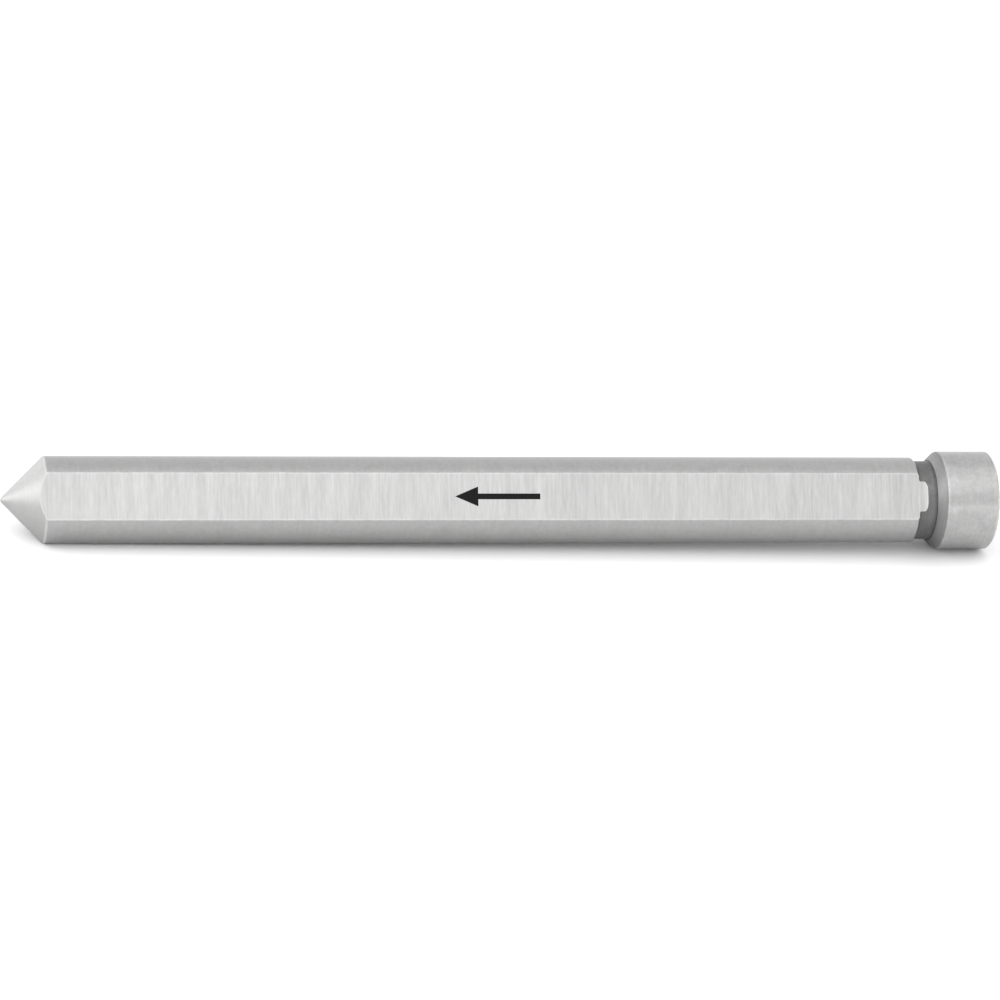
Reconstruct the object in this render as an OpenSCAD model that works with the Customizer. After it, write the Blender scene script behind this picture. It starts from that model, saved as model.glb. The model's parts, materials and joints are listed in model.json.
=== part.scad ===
// Pilot pin for an annular cutter, turned and ground from one bar of steel.
// It lies along X: the point is at -X and the rear face of the head is at X = 0.
// One of the ground flats faces straight down, so that the pin lies on it.

/* [Shaft] */
// Overall length, from the end of the point to the rear face
pin_length = 73.5; // [60:0.5:110]
// Diameter of the ground shaft
shaft_d = 6.35; // [6.3:0.01:6.6]
// Break on the shaft's rear edge
shaft_break = 0.08; // [0.04:0.01:0.09]

/* [Point] */
// Included angle of the point
point_angle = 90; // [60:1:120]
// Radius at the end of the point
tip_r = 0.3; // [0.1:0.05:0.6]
// Rounding where the point meets the shaft
base_r = 0.15; // [0.05:0.05:0.3]

/* [Flats] */
// Number of ground flats around the shaft
flat_count = 3; // [2:1:4]
// Distance from the axis to a flat
flat_reach = 2.68; // [2.6:0.01:2.75]
// How far a flat runs on past the shaft's rear edge, into the neck
flat_run_out = 0.67; // [0.5:0.01:0.8]
// Corner radius that the grinding wheel leaves at the end of a flat
wheel_corner_r = 0.3; // [0.25:0.01:0.4]

/* [Neck] */
// Diameter of the relief between the shaft and the head
neck_d = 5.8; // [5.6:0.05:5.8]
// Length of the relief
neck_length = 1.35; // [1.2:0.05:2]
// Radius in both corners of the relief
neck_corner_r = 0.1; // [0.05:0.01:0.15]

/* [Head] */
// Diameter of the head
head_d = 7.25; // [7:0.05:9]
// Length of the head, shoulder included
head_length = 4.6; // [4:0.05:8]
// Length of the shoulder's slope along the axis
shoulder_length = 0.65; // [0.5:0.05:1]
// How far the slope's crown stands out from a straight cone
shoulder_crown = 0.03; // [0.01:0.01:0.08]
// Break on the head's rear edge
rear_break = 0.2; // [0.1:0.05:0.4]

/* [Hidden] */
$fn = 96;

shaft_r = shaft_d / 2;
neck_r = neck_d / 2;
head_r = head_d / 2;
half_angle = point_angle / 2;
// How far a sharp cone would stand out past the rounded tip
tip_loss = tip_r / sin(half_angle) - tip_r;
point_length = shaft_r / tan(half_angle) - tip_loss;
// Stations along the axis, from the point to the rear face
tip_x = -pin_length;
base_x = tip_x + point_length;
shaft_end_x = -head_length - neck_length;
shoulder_x = -head_length;
flat_end_x = shaft_end_x + flat_run_out;
// The wheel's outline stands this far clear of the shaft
wheel_clear = 1;
// Straight pieces in each rounding
arc_steps = 6;

// Points on an arc in the axial plane: [x, radius] pairs, the angle measured from +X
function arc(centre, r, from, to) = [
    for (i = [0 : arc_steps])
        let (a = from + (to - from) * i / arc_steps)
        [centre[0] + r * cos(a), centre[1] + r * sin(a)]
];

// The rounded tip, from the axis to where the cone leaves it
function tip_points() =
    arc([tip_x + tip_r, 0], tip_r, 180, 90 + half_angle);

// The rounding between the cone and the shaft
function base_points() =
    let (set_back = base_r * tan(half_angle / 2))
    arc([base_x + set_back, shaft_r - base_r], base_r, 90 + half_angle, 90);

// The shaft's rear edge and both concave corners of the relief
function neck_points() = concat(
    [[shaft_end_x - shaft_break, shaft_r], [shaft_end_x, shaft_r - shaft_break]],
    arc([shaft_end_x + neck_corner_r, neck_r + neck_corner_r], neck_corner_r, 180, 270),
    arc([shoulder_x - neck_corner_r, neck_r + neck_corner_r], neck_corner_r, 270, 360)
);

// The crowned slope: an arc from its foot in the relief to the head's front edge
function shoulder_points() =
    let (
        foot = [shoulder_x, neck_r + neck_corner_r],
        edge = [shoulder_x + shoulder_length, head_r],
        span = norm(edge - foot),
        slope = atan2(edge[1] - foot[1], edge[0] - foot[0]),
        r = (span * span / 4 + shoulder_crown * shoulder_crown) / (2 * shoulder_crown),
        half = asin(span / 2 / r),
        inward = [sin(slope), -cos(slope)],
        centre = (foot + edge) / 2 + inward * (r - shoulder_crown),
        points = arc(centre, r, slope + 90 + half, slope + 90 - half)
    )
    // The first point is the foot, which the relief's corner already ends on
    [for (i = [1 : arc_steps]) points[i]];

function rear_points() = [
    [-rear_break, head_r],
    [0, head_r - rear_break],
    [0, 0]
];

function pin_profile() =
    concat(tip_points(), base_points(), neck_points(), shoulder_points(), rear_points());

// The turned blank: the whole profile spun about X
module blank() {
    rotate([0, 90, 0])
        rotate_extrude()
            polygon([for (p = pin_profile()) [p[1], p[0]]]);
}

// What the wheel takes off for one flat, below the pin
module flat_cut() {
    corner = arc(
        [flat_end_x - wheel_corner_r, flat_reach + wheel_corner_r], wheel_corner_r, 270, 360
    );
    deep = shaft_r + wheel_clear;
    outline = concat(
        [[tip_x - wheel_clear, deep], [tip_x - wheel_clear, flat_reach]],
        corner,
        [[flat_end_x, deep]]
    );
    mirror([0, 0, 1])
        rotate([90, 0, 0])
            linear_extrude(2 * deep, center = true)
                polygon(outline);
}

module pilot_pin() {
    color("gainsboro")
        difference() {
            blank();
            for (i = [0 : flat_count - 1])
                rotate([360 * i / flat_count, 0, 0])
                    flat_cut();
        }
}

pilot_pin();
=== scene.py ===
# %% [markdown]
# # A pilot pin, turned and ground from one bar of steel
# The pin slides in the hollow middle of an annular cutter. Its point finds a marked centre before
# the teeth touch the work, and when the cut is done a spring pushes it forward, so that it throws
# out the slug. The whole pin is one piece of steel, so the craft here is in three things: a clean
# turned outline, three flats that meet the round at a crisp edge, and the different finishes that
# turning, hardening and grinding leave on the same bar.

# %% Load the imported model, which is the frame for everything below
import functools
import json
import math

import bmesh
import bpy
from mathutils import Matrix, Vector


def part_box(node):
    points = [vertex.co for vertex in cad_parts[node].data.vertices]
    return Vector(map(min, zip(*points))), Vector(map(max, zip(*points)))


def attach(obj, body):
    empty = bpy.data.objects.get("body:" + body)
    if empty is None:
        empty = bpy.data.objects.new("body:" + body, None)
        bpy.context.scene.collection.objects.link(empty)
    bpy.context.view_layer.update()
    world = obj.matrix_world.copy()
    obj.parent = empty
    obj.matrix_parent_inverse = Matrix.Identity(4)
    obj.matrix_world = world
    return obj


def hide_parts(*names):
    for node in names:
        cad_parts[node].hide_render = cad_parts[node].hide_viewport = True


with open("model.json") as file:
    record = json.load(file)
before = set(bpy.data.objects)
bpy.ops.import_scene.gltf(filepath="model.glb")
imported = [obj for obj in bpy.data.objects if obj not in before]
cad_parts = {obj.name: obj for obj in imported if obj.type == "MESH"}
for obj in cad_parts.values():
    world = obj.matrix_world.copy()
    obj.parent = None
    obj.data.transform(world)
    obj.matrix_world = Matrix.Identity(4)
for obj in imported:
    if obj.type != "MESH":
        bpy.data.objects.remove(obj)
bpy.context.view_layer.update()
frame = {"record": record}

# %% [markdown]
# ## Sizes
# The model's own box and the mounts in its record give the length and the two main radii. What
# they don't give, such as the relief and the flats, is named here once, in millimetres. Blender
# works in metres, so each size is turned into metres where it is named.

# %% Sizes of the pin
MM = 0.001
MOUNTS = {mount["name"]: mount for mount in frame["record"]["mounts"]}
TIP_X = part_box("pilot_pin")[0].x
SHAFT_R = MOUNTS["shaft_lands"]["dims"]["r_mm"] * MM
HEAD_R = MOUNTS["head_od"]["dims"]["r_mm"] * MM

HALF_ANGLE = 45
TIP_R = 0.3 * MM
BASE_R = 0.15 * MM
FLAT_COUNT = 3
FLAT_REACH = 2.68 * MM
FLAT_RUN_OUT = 0.67 * MM
WHEEL_CORNER_R = 0.3 * MM
SHAFT_BREAK = 0.08 * MM
NECK_R = 2.9 * MM
NECK_LENGTH = 1.35 * MM
NECK_CORNER_R = 0.1 * MM
HEAD_LENGTH = 4.6 * MM
SHOULDER_LENGTH = 0.65 * MM
SHOULDER_CROWN = 0.03 * MM
HEAD_EDGE_BREAK = 0.1 * MM
REAR_BREAK = 0.2 * MM

tip_loss = TIP_R / math.sin(math.radians(HALF_ANGLE)) - TIP_R
BASE_X = TIP_X + SHAFT_R / math.tan(math.radians(HALF_ANGLE)) - tip_loss
SHOULDER_X = -HEAD_LENGTH
SHAFT_END_X = SHOULDER_X - NECK_LENGTH
HEAD_EDGE_X = SHOULDER_X + SHOULDER_LENGTH
FLAT_END_X = SHAFT_END_X + FLAT_RUN_OUT
print(f"point ends at {BASE_X / MM:.2f} mm, shaft at {SHAFT_END_X / MM:.2f} mm")

# %% [markdown]
# ## One small language for every node tree
# Node trees are built twice below: Geometry Nodes for the shape, shader nodes for the finishes.
# Both are easier to read as sums than as boxes and wires. So a `Wire` holds one output socket,
# and adding or multiplying it makes the Math node for it. Any other node comes from one method,
# `node`, which is told the node's type, its settings and what goes into its sockets.


# %% A tree of nodes, and a wire in it that does sums
class Wire:
    """One output socket, which can stand in a sum."""

    def __init__(self, tree, socket):
        self.tree = tree
        self.socket = socket

    def __add__(self, other):
        return self.tree.math("ADD", self, other)

    def __sub__(self, other):
        return self.tree.math("SUBTRACT", self, other)

    def __rsub__(self, other):
        return self.tree.math("SUBTRACT", other, self)

    def __mul__(self, other):
        return self.tree.math("MULTIPLY", self, other)

    def __truediv__(self, other):
        return self.tree.math("DIVIDE", self, other)

    def __rtruediv__(self, other):
        return self.tree.math("DIVIDE", other, self)

    def __lt__(self, other):
        return self.tree.math("LESS_THAN", self, other)

    def __gt__(self, other):
        return self.tree.math("GREATER_THAN", self, other)

    __radd__ = __add__
    __rmul__ = __mul__


class Tree:
    """A node tree, with one way to add any node to it."""

    def __init__(self, node_tree):
        self.nodes = node_tree.nodes
        self.links = node_tree.links

    def node(self, kind, settings=None, sockets=None):
        """Adds a node: its settings first, then a value or a wire for each socket named."""
        made = self.nodes.new(kind)
        for name, value in (settings or {}).items():
            setattr(made, name, value)
        for place, value in (sockets or {}).items():
            socket = self.pick(made.inputs, place)
            if isinstance(value, Wire):
                self.links.new(value.socket, socket)
            else:
                socket.default_value = value
        return made

    def wire(self, kind, settings=None, sockets=None, out=0):
        """Adds a node and returns one of its outputs."""
        made = self.node(kind, settings, sockets)
        return Wire(self, self.pick(made.outputs, out))

    def math(self, operation, *values):
        return self.wire("ShaderNodeMath", {"operation": operation}, dict(enumerate(values)))

    @staticmethod
    def pick(sockets, place):
        """A socket by its identifier, or else by its name or number."""
        for socket in sockets:
            if socket.identifier == place:
                return socket
        return sockets[place]


print("sums on wires:", "+ - * / < >")

# %% [markdown]
# ## The outline
# A lathe makes a shape by moving a tool along one outline while the bar turns. The outline here is
# the same kind of thing: points in pairs, how far along the pin and how far out from its axis.
# Round stretches come from `arc`, and long straight ones get extra points from `straight`, so that
# the faces of the finished skin stay short enough to take light evenly.


# %% Arcs and straight stretches
ARC_STEPS = 8
ROUNDING_STEPS = 4
WHEEL_STEPS = 12


def arc(centre, radius, start, end, steps=ARC_STEPS):
    """Points on an arc, with its angles in degrees from along the pin towards outwards."""
    angles = [math.radians(start + (end - start) * i / steps) for i in range(steps + 1)]
    return [(centre[0] + radius * math.cos(a), centre[1] + radius * math.sin(a)) for a in angles]


def straight(start, end, longest):
    """Points strictly between two ends, no further apart than the longest step."""
    steps = math.ceil(math.dist(start, end) / longest)
    return [
        tuple(a + (b - a) * i / steps for a, b in zip(start, end)) for i in range(1, steps)
    ]


def rounded(before, corner, after, steps=ROUNDING_STEPS):
    """A smooth curve from one point to another that leaves out the corner between them."""
    first, middle, last = Vector(before), Vector(corner), Vector(after)
    shares = [i / steps for i in range(steps + 1)]
    return [
        tuple(first.lerp(middle, share).lerp(middle.lerp(last, share), share)) for share in shares
    ]


def crowned_slope():
    """The shoulder: an arc from its foot in the relief to the front edge of the head."""
    foot = Vector((SHOULDER_X, NECK_R + NECK_CORNER_R))
    edge = Vector((HEAD_EDGE_X, HEAD_R))
    span = (edge - foot).length
    slope = math.atan2(edge.y - foot.y, edge.x - foot.x)
    radius = (span**2 / 4 + SHOULDER_CROWN**2) / (2 * SHOULDER_CROWN)
    inward = Vector((math.sin(slope), -math.cos(slope)))
    centre = (foot + edge) / 2 + inward * (radius - SHOULDER_CROWN)
    half = math.degrees(math.asin(span / 2 / radius))
    top = math.degrees(slope) + 90
    return arc(centre, radius, top + half, top - half)[1:]


print("steps in an arc:", ARC_STEPS, "in a small rounding:", ROUNDING_STEPS)


# %% The whole outline, from the tip to the middle of the rear face
CONE_STEP = 0.25 * MM
SHAFT_STEP = 1.0 * MM
HEAD_STEP = 0.25 * MM


def pin_outline():
    """All the points of the outline, from tip to rear, in metres."""
    base_set_back = BASE_R * math.tan(math.radians(HALF_ANGLE / 2))
    tip = arc((TIP_X + TIP_R, 0), TIP_R, 180, 90 + HALF_ANGLE)
    base = arc((BASE_X + base_set_back, SHAFT_R - BASE_R), BASE_R, 90 + HALF_ANGLE, 90)
    shaft_edge = [(SHAFT_END_X - SHAFT_BREAK, SHAFT_R), (SHAFT_END_X, SHAFT_R - SHAFT_BREAK)]
    corner_r = NECK_R + NECK_CORNER_R
    front_corner = arc((SHAFT_END_X + NECK_CORNER_R, corner_r), NECK_CORNER_R, 180, 270)
    rear_corner = arc((SHOULDER_X - NECK_CORNER_R, corner_r), NECK_CORNER_R, 270, 360)
    slope = crowned_slope()
    head_edge = rounded(slope[-2], (HEAD_EDGE_X, HEAD_R), (HEAD_EDGE_X + HEAD_EDGE_BREAK, HEAD_R))
    rear_edge = [(-REAR_BREAK, HEAD_R), (0, HEAD_R - REAR_BREAK)]
    return (
        tip + straight(tip[-1], base[0], CONE_STEP)
        + base + straight(base[-1], shaft_edge[0], SHAFT_STEP)
        + shaft_edge + front_corner + rear_corner + slope[:-2] + head_edge
        + straight(head_edge[-1], rear_edge[0], HEAD_STEP)
        + rear_edge + straight(rear_edge[1], (0, 0), HEAD_STEP) + [(0, 0)]
    )


def new_object(name, points, edges=(), faces=()):
    """An object at the origin, with its place in its mesh."""
    mesh = bpy.data.meshes.new(name)
    mesh.from_pydata(points, edges, faces)
    made = bpy.data.objects.new(name, mesh)
    bpy.context.collection.objects.link(made)
    return made


outline_points = [(x, r, 0) for x, r in pin_outline()]
outline = new_object(
    "outline", outline_points, [(i, i + 1) for i in range(len(outline_points) - 1)]
)
print("outline points:", len(outline_points))

# %% [markdown]
# ## The grinding wheel
# Each flat is what a wide wheel takes off as it passes under the pin. The wheel's edge has a small
# radius, so the flat ends in the relief with a rounded step. Here the wheel is a bar with that
# outline, long enough to pass right through the pin, and the tree below uses it three times.


# %% The wheel's outline, drawn out into a bar
WHEEL_CLEAR = 1 * MM


def wheel_bar():
    """The wheel as a bar across the pin, which reaches a little past it on every side."""
    deep = SHAFT_R + WHEEL_CLEAR
    centre = (FLAT_END_X - WHEEL_CORNER_R, FLAT_REACH + WHEEL_CORNER_R)
    front = TIP_X - WHEEL_CLEAR
    corner = arc(centre, WHEEL_CORNER_R, 270, 360, WHEEL_STEPS)
    profile = [(front, deep), (front, FLAT_REACH)] + corner + [(FLAT_END_X, deep)]
    count = len(profile)
    points = [(x, side * deep, -depth) for side in (-1, 1) for x, depth in profile]
    sides = [(i, (i + 1) % count, (i + 1) % count + count, i + count) for i in range(count)]
    ends = [tuple(range(count)), tuple(reversed(range(count, 2 * count)))]
    bar = new_object("wheel", points, faces=sides + ends)
    shell = bmesh.new()
    shell.from_mesh(bar.data)
    bmesh.ops.recalc_face_normals(shell, faces=shell.faces)
    shell.to_mesh(bar.data)
    shell.free()
    return bar


wheel = wheel_bar()
print("wheel bar faces:", len(wheel.data.polygons))

# %% [markdown]
# ## Spin, grind and sort the faces
# The shape follows a rule, so Geometry Nodes make it, from inputs that a maker would recognise.
# A grid gets one row for each outline point and one column for each step around the pin. Every
# grid point looks up its row's outline point and moves to its column's angle, which is all that a
# lathe does. The wheel bar is then set around the pin once for each flat and taken away from it.
# What is left is sorted by where each face lies and which way it looks, because each stretch of
# the bar gets a finish of its own.

# %% Inputs of the shape's tree
FINISHES = ("lands", "point", "relief", "shoulder", "head", "rear face", "flats")
TREE_INPUTS = {
    "Outline": "NodeSocketGeometry",
    "Wheel": "NodeSocketObject",
    "Steps around": "NodeSocketInt",
    "Flats": "NodeSocketInt",
    "Flat reach": "NodeSocketFloat",
    "Point ends": "NodeSocketFloat",
    "Shaft ends": "NodeSocketFloat",
    "Flats end": "NodeSocketFloat",
    "Shoulder starts": "NodeSocketFloat",
    "Head starts": "NodeSocketFloat",
    "Sharp angle": "NodeSocketFloat",
}
TREE_INPUTS.update({f"Finish of {part}": "NodeSocketMaterial" for part in FINISHES})
WELD = 5e-8
NEAR = 1e-6
LEVEL = 0.001
FACING_FRONT = -0.01
FACING_REAR = 0.9


def spin(tree, given):
    """The turned blank: the outline's points, each carried around the axis in steps."""
    steps = given["Steps around"]
    rows = tree.wire(
        "GeometryNodeAttributeDomainSize", {"component": "MESH"}, {0: given["Outline"]}
    )
    columns = steps + 1
    grid = tree.wire(
        "GeometryNodeMeshGrid", None, {"Vertices X": rows, "Vertices Y": columns}, "Mesh"
    )
    index = tree.wire("GeometryNodeInputIndex")
    row = tree.math("FLOOR", index / columns)
    angle = (index - row * columns) * (2 * math.pi) / steps
    point = tree.wire(
        "GeometryNodeSampleIndex",
        {"data_type": "FLOAT_VECTOR", "domain": "POINT"},
        {
            "Geometry": given["Outline"],
            "Value": tree.wire("GeometryNodeInputPosition"),
            "Index": row,
        },
    )
    parts = tree.node("ShaderNodeSeparateXYZ", None, {0: point})
    along, out = Wire(tree, parts.outputs["X"]), Wire(tree, parts.outputs["Y"])
    place = tree.wire("ShaderNodeCombineXYZ", None, {
        "X": along,
        "Y": out * tree.math("SINE", angle),
        "Z": out * tree.math("COSINE", angle),
    })
    moved = tree.wire("GeometryNodeSetPosition", None, {"Geometry": grid, "Position": place})
    return tree.wire("GeometryNodeMergeByDistance", None, {"Geometry": moved, "Distance": WELD})


def wheels_around(tree, given):
    """One wheel bar for each flat, evenly set around the axis."""
    count = given["Flats"]
    centres = tree.wire("GeometryNodePoints", None, {"Count": count})
    turn = tree.wire("GeometryNodeInputIndex") * (2 * math.pi) / count
    return tree.wire("GeometryNodeRealizeInstances", None, {
        0: tree.wire("GeometryNodeInstanceOnPoints", None, {
            "Points": centres,
            "Instance": tree.wire("GeometryNodeObjectInfo", None, {0: given["Wheel"]}, "Geometry"),
            "Rotation": tree.wire("ShaderNodeCombineXYZ", None, {"X": turn}),
        }),
    })


print("named inputs of the shape's tree:", len(TREE_INPUTS))


# %% Which faces belong to which finish
def face_regions(tree, given):
    """A yes-or-no field for each finish, from a face's place and the way it looks."""
    place = tree.wire("GeometryNodeInputPosition")
    facing = tree.wire("GeometryNodeInputNormal")
    along = tree.wire("ShaderNodeSeparateXYZ", None, {0: place}, "X")
    facing_along = tree.wire("ShaderNodeSeparateXYZ", None, {0: facing}, "X")
    reach = tree.wire(
        "ShaderNodeVectorMath", {"operation": "DOT_PRODUCT"}, {0: place, 1: facing}, "Value"
    )
    level = tree.math("ABSOLUTE", facing_along) < LEVEL
    at_flat = level * (tree.math("ABSOLUTE", reach - given["Flat reach"]) < NEAR)
    past_shaft = along > given["Shaft ends"]
    step = past_shaft * (along < given["Flats end"]) * (facing_along < FACING_FRONT)
    shoulder = along > given["Shoulder starts"]
    head = along > given["Head starts"]
    return {
        "lands": None,
        "point": along < given["Point ends"],
        "relief": (along > given["Shaft ends"] - NEAR) * (1 - shoulder),
        "shoulder": shoulder * (1 - head),
        "head": head,
        "rear face": head * (facing_along > FACING_REAR),
        "flats": tree.math("MAXIMUM", at_flat, step),
    }


print("sorted into:", ", ".join(FINISHES))


# %% The whole tree
def pin_tree():
    """Spin, grind, smooth and sort, in one node group."""
    group = bpy.data.node_groups.new("turned and ground pin", "GeometryNodeTree")
    for name, kind in TREE_INPUTS.items():
        group.interface.new_socket(name, in_out="INPUT", socket_type=kind)
    group.interface.new_socket("Pin", in_out="OUTPUT", socket_type="NodeSocketGeometry")
    tree = Tree(group)
    entry = tree.node("NodeGroupInput")
    given = {name: Wire(tree, entry.outputs[name]) for name in TREE_INPUTS}

    pin = tree.wire("GeometryNodeMeshBoolean", {"operation": "DIFFERENCE", "solver": "EXACT"}, {
        "Mesh 1": spin(tree, given),
        "Mesh 2": wheels_around(tree, given),
    })
    regions = face_regions(tree, given)
    pin = tree.wire("GeometryNodeSetShadeSmooth", {"domain": "FACE"}, {
        "Geometry": pin,
        "Shade Smooth": 1 - regions["flats"],
    })
    bend = tree.wire("GeometryNodeInputMeshEdgeAngle", None, None, "Unsigned Angle")
    pin = tree.wire("GeometryNodeSetShadeSmooth", {"domain": "EDGE"}, {
        "Geometry": pin,
        "Shade Smooth": bend < given["Sharp angle"],
    })
    pin = tree.wire("GeometryNodeRealizeInstances", None, {0: pin})
    for part, region in regions.items():
        sockets = {"Geometry": pin, "Material": given[f"Finish of {part}"]}
        if region:
            sockets["Selection"] = region
        pin = tree.wire("GeometryNodeSetMaterial", None, sockets)
    tree.node("NodeGroupOutput", None, {0: pin})
    return group


shape_tree = pin_tree()
print("nodes in the shape's tree:", len(shape_tree.nodes))

# %% [markdown]
# ## Finishes
# All the finishes are bare hardened steel. What tells them apart is how each stretch was cut, so
# they share one kind of mark: noise that is squeezed in one direction and drawn out in the other.
# A grinding wheel leaves its lines around the shaft and straight across the flats. Coordinates are
# in millimetres from the pin's own origin, so the marks keep their size on every stretch.


# %% Where a point is on the pin, in millimetres
def places(tree):
    """A point's coordinates, how far out it is from the axis, and how far along the skin."""
    here = tree.wire("ShaderNodeTexCoord", None, None, "Object")
    here = tree.wire("ShaderNodeVectorMath", {"operation": "SCALE"}, {0: here, "Scale": 1 / MM})
    parts = tree.node("ShaderNodeSeparateXYZ", None, {0: here})
    x, y, z = (Wire(tree, parts.outputs[axis]) for axis in "XYZ")
    out = tree.math("SQRT", y * y + z * z)
    return {"x": x, "y": y, "z": z, "out": out, "skin": x + out}


# %% Kinds of tool mark: how many in a millimetre along one way and across it, and a shift
LINES = {"way": "skin", "along": 7, "across": 0.35}
CLOUD = {"way": "skin", "along": 0.9, "across": 0.9, "shift": 31}
GRAIN = {"way": "skin", "along": 3.2, "across": 3.2, "shift": 53}
FINE_STREAKS = {"way": "x", "along": 9, "across": 0.35}
SHORT_STREAKS = {"way": "x", "along": 6, "across": 1.1, "shift": 41}
BROAD_STREAKS = {"way": "x", "along": 1.6, "across": 0.15, "shift": 17}
SKIN_RINGS = {"way": "skin", "along": 5, "across": 0.3}
SKIN_CLOUD = {"way": "skin", "along": 1.6, "across": 1.6, "shift": 11}
HIGHLIGHT_PATCHES = {"way": "x", "along": 0.7, "across": 0.7, "shift": 71}
MARK_DETAIL = 3
MARK_BREAKUP = 0.6


def marks(tree, place, way, along, across, shift=0):
    """Noise from 0 to 1. The shift keeps two kinds of mark from lying on each other."""
    spot = tree.wire("ShaderNodeCombineXYZ", None, {
        "X": place[way] * along + shift,
        "Y": place["y"] * across,
        "Z": place["z"] * across,
    })
    return tree.wire("ShaderNodeTexNoise", {"noise_dimensions": "3D"}, {
        "Vector": spot,
        "Scale": 1.0,
        "Detail": MARK_DETAIL,
        "Roughness": MARK_BREAKUP,
    })


def weighed(noises, shares):
    """Several noises added up, each by its share."""
    first, *rest = [noise * share for noise, share in zip(noises, shares)]
    return sum(rest, first)


def uneven(value, noise, spread):
    """A value that noise moves up and down by half of the spread."""
    return value + (noise - 0.5) * spread


print(f"lines {1 / LINES['along']:.2f} mm apart, streaks {1 / FINE_STREAKS['along']:.2f} mm")


# %% One recipe for bare steel
WARMTH = 0.995


def new_material(name):
    """An empty material, and its node tree."""
    material = bpy.data.materials.new(name)
    material.use_nodes = True
    material.node_tree.nodes.clear()
    return material, Tree(material.node_tree)


def grey(value):
    """A steel grey with a trace of warmth."""
    return (value, value, value * WARMTH, 1)


def mix_greys(tree, share, first, second):
    """Blends two colours, each a number for a grey or a wire."""
    ends = [end if isinstance(end, Wire) else grey(end) for end in (first, second)]
    return tree.wire("ShaderNodeMix", {"data_type": "RGBA"}, {
        "Factor_Float": share,
        "A_Color": ends[0],
        "B_Color": ends[1],
    }, "Result_Color")


def finish(tree, colour, roughness, height, depth):
    """Ends a material: metal whose tool marks have a real depth."""
    bump = tree.wire(
        "ShaderNodeBump", None, {"Strength": 1.0, "Distance": depth, "Height": height}, "Normal"
    )
    surface = tree.wire("ShaderNodeBsdfPrincipled", None, {
        "Base Color": colour,
        "Metallic": 1.0,
        "Roughness": roughness,
        "Normal": bump,
    })
    tree.node("ShaderNodeOutputMaterial", None, {"Surface": surface})


print("bare steel, from", grey(0)[:3], "to", grey(1)[:3])

# %% [markdown]
# ## Painted highlights on the edges
# Every edge is painted brighter than the steel beside it, as a painted highlight of the light that
# a sharp edge catches. The edges of a turned part lie at known stations, and the long edges of the
# flats lie where two distances meet: the shaft's radius and the flat's reach. So a mask needs no
# texture. It is the distance from such an edge. One noise breaks the painted highlight up and a
# broader one lets it come and go along the edge.

# %% Edges, each with its place along the pin and the reach of its painted highlight in mm
BASE_EDGE = (BASE_X, 0.12)
SHAFT_EDGE = (SHAFT_END_X, 0.10)
HEAD_EDGE = (HEAD_EDGE_X, 0.08)
REAR_EDGE = (-REAR_BREAK / 2, 0.14)
# Painted highlights: their reach beside the flats' edges, their grey, and the noise levels that
# break them up
SIDE_HIGHLIGHT = 0.05
FRONT_HIGHLIGHT = 0.08
HIGHLIGHT_GREY = 0.70
PATCH_STARTS = 0.35
PATCH_FULL = 0.65
LEAST_HIGHLIGHT = 0.35


def near(tree, value, centre, reach):
    """1 where a value meets the centre, falling to 0 at the given reach from it."""
    return tree.math("MAXIMUM", 1 - tree.math("ABSOLUTE", value - centre) / reach, 0.0)


def strongest(tree, masks):
    """The greatest of several masks at each point."""
    return functools.reduce(lambda first, second: tree.math("MAXIMUM", first, second), masks)


def station_bands(tree, place, edges):
    """Bands at stations along the pin: painted highlights on edges, painted shade in corners."""
    return strongest(tree, [near(tree, place["x"], x / MM, reach) for x, reach in edges])


def side_edge_highlights(tree, place):
    """Painted highlight mask on the long edges, where a flat meets the round of the shaft."""
    turns = [math.radians(-90 + 360 * i / FLAT_COUNT) for i in range(FLAT_COUNT)]
    heights = [place["y"] * math.cos(turn) + place["z"] * math.sin(turn) for turn in turns]
    edge = (SHAFT_R + FLAT_REACH) / MM
    return near(tree, place["out"] + strongest(tree, heights), edge, SIDE_HIGHLIGHT)


def front_edge_highlight(tree, place):
    """Painted highlight mask on the curved edge, where a flat runs out into the point."""
    return near(tree, place["x"] - place["out"], (BASE_X - SHAFT_R) / MM, FRONT_HIGHLIGHT)


def broken_highlight(tree, place, masks, grain):
    """A painted highlight on all the masked edges, broken up unevenly by noise."""
    patches = tree.wire("ShaderNodeMapRange", None, {
        "Value": marks(tree, place, **HIGHLIGHT_PATCHES),
        "From Min": PATCH_STARTS,
        "From Max": PATCH_FULL,
        "To Min": LEAST_HIGHLIGHT,
    })
    return strongest(tree, masks) * grain * patches


# The turned edges that get a painted highlight
for edge_x, edge_reach in (BASE_EDGE, SHAFT_EDGE, HEAD_EDGE, REAR_EDGE):
    print(f"worn edge at {edge_x / MM:.2f} mm, {edge_reach:.2f} mm to each side")

# %% [markdown]
# ## The cuts
# The round stretches were ground while the pin turned, so their lines run around it, with clouds
# and grain from the wheel's grit. The flats were ground straight across, and their lines are
# stronger and break off. The relief was never ground: it keeps the dark skin of hardening, and
# painted shade darkens it further in its corners. The rear face was only faced off on the lathe.


# %% Steel that was ground or faced while it turned
# Shares of lines, cloud and grain in the tone, and of lines and grain in the height
GROUND_TONE = (0.3, 0.3, 0.4)
FACED_TONE = (0.6, 0.3, 0.1)
ROUND_HEIGHT = (0.6, 0.4)
ROUND_SPREAD = 0.14
LINE_DEPTH = 0.0015 * MM


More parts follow.
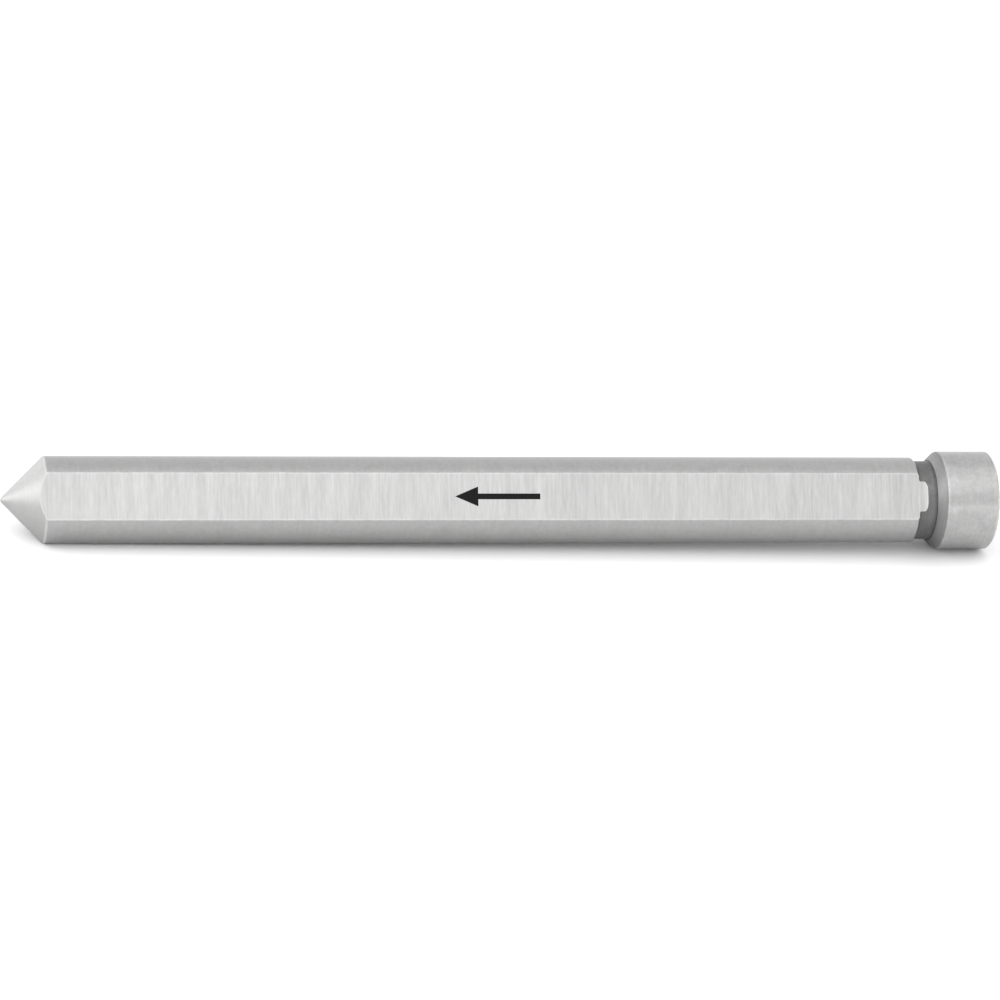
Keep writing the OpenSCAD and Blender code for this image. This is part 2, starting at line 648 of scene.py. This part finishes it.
def ground_round(name, dark, light, roughness, edges, shares=GROUND_TONE):
    """Lines that run around the pin. With the shaft's edge come the long edges of its lands."""
    material, tree = new_material(name)
    place = places(tree)
    lines = marks(tree, place, **LINES)
    cloud = marks(tree, place, **CLOUD)
    grain = marks(tree, place, **GRAIN)
    # Painted highlights on the turned edges, and on the lands also on the long edges beside the
    # flats
    highlighted = [station_bands(tree, place, edges)]
    if SHAFT_EDGE in edges:
        highlighted.append(side_edge_highlights(tree, place))
    steel = mix_greys(tree, weighed([lines, cloud, grain], shares), dark, light)
    colour = mix_greys(tree, broken_highlight(tree, place, highlighted, grain), steel, HIGHLIGHT_GREY)
    height = weighed([lines, grain], ROUND_HEIGHT)
    finish(tree, colour, uneven(roughness, cloud, ROUND_SPREAD), height, LINE_DEPTH)
    return material


print("round finishes: lines, cloud and grain, bumps", LINE_DEPTH / MM, "mm deep")

# %% [markdown]
# ## The mark
# The maker's flat carries a dark laser mark. Here it is a plain arrow that points to the tip. The
# laser only darkens the skin, so the mark is a mask in the flats' finish and has no thickness.

# %% A dark arrow on one flat, all in mm
MARK_LENGTH = 6.3
MARK_WIDTH = 1.45
MARK_LINE = 0.42
MARK_HEAD = 1.7
MARK_MIDDLE = -37.7
MARK_GREY = 0.014
MARKED_FLAT = math.radians(150)


def mark(tree, place):
    """1 on the arrow and 0 off it."""
    cosine, sine = math.cos(MARKED_FLAT), math.sin(MARKED_FLAT)
    height = place["y"] * cosine + place["z"] * sine
    across = tree.math("ABSOLUTE", place["z"] * cosine - place["y"] * sine)
    from_tip = place["x"] - (MARK_MIDDLE - MARK_LENGTH / 2)
    head = (from_tip < MARK_HEAD) * (across < from_tip * (MARK_WIDTH / 2 / MARK_HEAD))
    line = (from_tip > MARK_HEAD) * (from_tip < MARK_LENGTH) * (across < MARK_LINE / 2)
    return (head + line) * (height > FLAT_REACH / MM - SIDE_HIGHLIGHT)


print("arrow:", MARK_LENGTH, "by", MARK_WIDTH, "mm")


# %% Steel that was ground straight across
# Shares of fine, short and broad streaks in the tone, and of fine and short ones in the height
STREAK_TONE = (0.45, 0.25, 0.3)
STREAK_HEIGHT = (0.7, 0.3)
STREAK_SPREAD = 0.2
STREAK_DEPTH = 0.002 * MM
SHAFT_END_HIGHLIGHT = 0.5


def ground_across(name, dark, light, roughness):
    """Streaks straight across a flat, with the mark on one of them."""
    material, tree = new_material(name)
    place = places(tree)
    fine = marks(tree, place, **FINE_STREAKS)
    short = marks(tree, place, **SHORT_STREAKS)
    broad = marks(tree, place, **BROAD_STREAKS)
    # Painted highlights on the flats' long edges, on their curved front edge and, weaker, at the
    # shaft's end
    shaft_end = station_bands(tree, place, [SHAFT_EDGE]) * SHAFT_END_HIGHLIGHT
    highlighted = [side_edge_highlights(tree, place), front_edge_highlight(tree, place), shaft_end]
    steel = mix_greys(tree, weighed([fine, short, broad], STREAK_TONE), dark, light)
    steel = mix_greys(tree, broken_highlight(tree, place, highlighted, short), steel, HIGHLIGHT_GREY)
    colour = mix_greys(tree, mark(tree, place), steel, MARK_GREY)
    height = weighed([fine, short], STREAK_HEIGHT)
    finish(tree, colour, uneven(roughness, fine, STREAK_SPREAD), height, STREAK_DEPTH)
    return material


print("flats: three kinds of streak, bumps", STREAK_DEPTH / MM, "mm deep")


# %% The skin that hardening leaves, with painted shade in its corners
SHAFT_CORNER = (SHAFT_END_X, 0.22)
SHOULDER_CORNER = (SHOULDER_X, 0.25)
# Painted shade in the relief's two inside corners: its grey and how strongly it is mixed in
CORNER_SHADE_GREY = 0.04
CORNER_SHADE_SHARE = 0.6
SKIN_TONE = (0.4, 0.6)
SKIN_SPREAD = 0.2
SKIN_DEPTH = 0.002 * MM


def hardened_skin(name, dark, light, roughness):
    """A dull, cloudy grey, with painted shade that darkens it in the corners."""
    material, tree = new_material(name)
    place = places(tree)
    rings = marks(tree, place, **SKIN_RINGS)
    cloud = marks(tree, place, **SKIN_CLOUD)
    skin = mix_greys(tree, weighed([rings, cloud], SKIN_TONE), dark, light)
    # Painted shade: the skin is darkened towards the shaft's end and the shoulder's foot
    corners = station_bands(tree, place, [SHAFT_CORNER, SHOULDER_CORNER])
    colour = mix_greys(tree, corners * CORNER_SHADE_SHARE, skin, CORNER_SHADE_GREY)
    finish(tree, colour, uneven(roughness, cloud, SKIN_SPREAD), rings, SKIN_DEPTH)
    return material


print("the relief's corners are darkened for", SHOULDER_CORNER[1], "mm")


# %% Each stretch with its darkest and lightest grey, roughness and edges with painted highlights
STEEL = {
    "lands": ground_round("ground lands", 0.26, 0.48, 0.32, [BASE_EDGE, SHAFT_EDGE]),
    "point": ground_round("ground point", 0.30, 0.49, 0.43, [BASE_EDGE]),
    "relief": hardened_skin("hardened skin", 0.05, 0.24, 0.45),
    "shoulder": ground_round("turned shoulder", 0.15, 0.31, 0.44, [HEAD_EDGE]),
    "head": ground_round("ground head", 0.20, 0.59, 0.31, [HEAD_EDGE, REAR_EDGE]),
    "rear face": ground_round("faced rear", 0.23, 0.55, 0.34, [REAR_EDGE], FACED_TONE),
    "flats": ground_across("ground flats", 0.23, 0.68, 0.4),
}
print("finishes:", ", ".join(STEEL))

# %% [markdown]
# ## Run the tree once and keep its mesh
# The tree gives the same skin every time, so it is run once and its result becomes a plain mesh
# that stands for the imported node. The modifier, the outline and the wheel have done their work.

# %% The visible pin
STEPS_AROUND = 256
SHARP_ANGLE = math.radians(14)


def run_tree(base, group, values):
    """The mesh that a tree makes of an object, with empty material slots left out."""
    modifier = base.modifiers.new("shape", "NODES")
    modifier.node_group = group
    for name, value in values.items():
        modifier[group.interface.items_tree[name].identifier] = value
    evaluated = base.evaluated_get(bpy.context.evaluated_depsgraph_get())
    mesh = bpy.data.meshes.new_from_object(evaluated)
    base.modifiers.remove(modifier)
    for slot in reversed(range(len(mesh.materials))):
        if mesh.materials[slot] is None:
            mesh.materials.pop(index=slot)
    return mesh


pin_mesh = run_tree(outline, shape_tree, {
    "Wheel": wheel,
    "Steps around": STEPS_AROUND,
    "Flats": FLAT_COUNT,
    "Flat reach": FLAT_REACH,
    "Point ends": BASE_X,
    "Shaft ends": SHAFT_END_X,
    "Flats end": FLAT_END_X,
    "Shoulder starts": SHOULDER_X,
    "Head starts": HEAD_EDGE_X,
    "Sharp angle": SHARP_ANGLE,
    **{f"Finish of {part}": STEEL[part] for part in FINISHES},
})
for helper in (outline, wheel):
    bpy.data.objects.remove(helper)
pin = bpy.data.objects.new("ground_pin", pin_mesh)
bpy.context.collection.objects.link(pin)
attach(pin, "root")
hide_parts("pilot_pin")
print("faces:", len(pin_mesh.polygons), "materials:", [m.name for m in pin_mesh.materials])

# %% [markdown]
# ## Camera
# The pin is nearly as long as the picture is wide, and a long lens looks at it from a little above
# and a little towards the point, so the round front of the head's shoulder shows.

# %% Camera, level with the pin
VIEW_ELEVATION = math.radians(24.4)
VIEW_TURN = math.radians(11.583)
EYE_ALONG = -107.88 * MM
EYE_AWAY = 345.84 * MM
LENS = 174.0
CLIP = (0.01, 20)

towards_eye = Vector((0, -math.cos(VIEW_ELEVATION), math.sin(VIEW_ELEVATION)))
along_pin = Vector((1, 0, 0))
looking = along_pin * math.sin(VIEW_TURN) - towards_eye * math.cos(VIEW_TURN)
right = along_pin * math.cos(VIEW_TURN) + towards_eye * math.sin(VIEW_TURN)
camera_data = bpy.data.cameras.new("camera")
camera_data.lens = LENS
camera_data.clip_start, camera_data.clip_end = CLIP
camera = bpy.data.objects.new("camera", camera_data)
eye = along_pin * EYE_ALONG + towards_eye * EYE_AWAY
turn = Matrix((right, right.cross(looking), -looking)).transposed()
camera.matrix_world = Matrix.Translation(eye) @ turn.to_4x4()
bpy.context.collection.objects.link(camera)
bpy.context.scene.camera = camera
print("camera at", tuple(round(value, 3) for value in eye))

# %% [markdown]
# ## The table
# The pin rests on the rim of its head and on the front end of its lower flat, so the table under it
# is tilted by less than a degree in the pin's frame. Far from the lamps, only the studio's own glow
# lights the table. The glow is made just strong enough for the far table to be white too, so no
# line shows where the table ends.

# %% A pale table that the pin rests on
TABLE_HALF = 1.5
TABLE_GREY = 0.9
TABLE_ROUGHNESS = 0.9
TABLE_SHEEN = 0.1
STUDIO_GLOW = 1.12


def resting_table():
    """A square through the two places where the pin touches it."""
    front = Vector((BASE_X - (SHAFT_R - FLAT_REACH), 0, -FLAT_REACH))
    rear = Vector((HEAD_EDGE_X, 0, -HEAD_R))
    slope = (rear.z - front.z) / (rear.x - front.x)
    corners = [(-1, -1), (1, -1), (1, 1), (-1, 1)]
    points = [
        (x * TABLE_HALF, y * TABLE_HALF, rear.z + (x * TABLE_HALF - rear.x) * slope)
        for x, y in corners
    ]
    print(f"table tilted by {math.degrees(math.atan(-slope)):.2f} degrees")
    return new_object("table", points, faces=[(0, 1, 2, 3)])


def table_paint():
    material, tree = new_material("table paint")
    surface = tree.wire("ShaderNodeBsdfPrincipled", None, {
        "Base Color": (TABLE_GREY, TABLE_GREY, TABLE_GREY, 1),
        "Roughness": TABLE_ROUGHNESS,
        "Specular IOR Level": TABLE_SHEEN,
    })
    tree.node("ShaderNodeOutputMaterial", None, {"Surface": surface})
    return material


table = resting_table()
table.data.materials.append(table_paint())
print(f"far table {TABLE_GREY * STUDIO_GLOW:.2f}, where 1 is white")

# %% [markdown]
# ## Light
# Bare metal shows little of its own: it shows what stands around it. So each soft box is there for
# the stretch that mirrors it. The key and the front lamps lie in the tilted flat, the walls on the
# left are the broad light in the point, and the low wall in front is the second bright line along
# the head. The boxes are large and near, so every edge of light is soft.


# %% Soft boxes: place from the pin's middle, width and height in metres, and watts
def soft_box(name, place, target, size, power):
    """A rectangle of light that faces the target and is itself out of sight."""
    data = bpy.data.lights.new(name, "AREA")
    data.shape = "RECTANGLE"
    data.size, data.size_y = size
    data.energy = power
    light = bpy.data.objects.new(name, data)
    light.location = place
    light.rotation_mode = "QUATERNION"
    light.rotation_quaternion = (target - place).to_track_quat("-Z", "Y")
    light.visible_camera = False
    bpy.context.collection.objects.link(light)


MIDDLE = Vector((TIP_X / 2, 0, 0))
LAMPS = {
    "key": ((-0.02, -0.30, 0.50), (0.5, 0.35), 0.44),
    "over": ((0.0, 0.0, 0.6), (0.6, 0.4), 0.24),
    "front": ((-0.02, -0.55, 0.36), (0.35, 0.3), 0.20),
    "front wall": ((0.05, -0.60, 0.055), (0.7, 0.11), 0.19),
    "left wall": ((-0.50, 0.05, 0.11), (0.5, 0.24), 0.48),
    "back left wall": ((-0.32, 0.42, 0.12), (0.4, 0.24), 0.28),
    "left side": ((-0.42, -0.05, 0.36), (0.3, 0.5), 0.62),
    "right side": ((0.45, 0.0, 0.34), (0.3, 0.5), 0.32),
}
for name, (place, size, power) in LAMPS.items():
    soft_box(name, MIDDLE + Vector(place), MIDDLE, size, power)
print("soft boxes:", ", ".join(LAMPS))

# %% The studio's own glow
world = bpy.data.worlds.new("studio")
world.use_nodes = True
glow = world.node_tree.nodes["Background"].inputs
glow["Color"].default_value = (1, 1, 1, 1)
glow["Strength"].default_value = STUDIO_GLOW
bpy.context.scene.world = world
bpy.context.scene.view_settings.view_transform = "Standard"
print("studio glow:", STUDIO_GLOW)
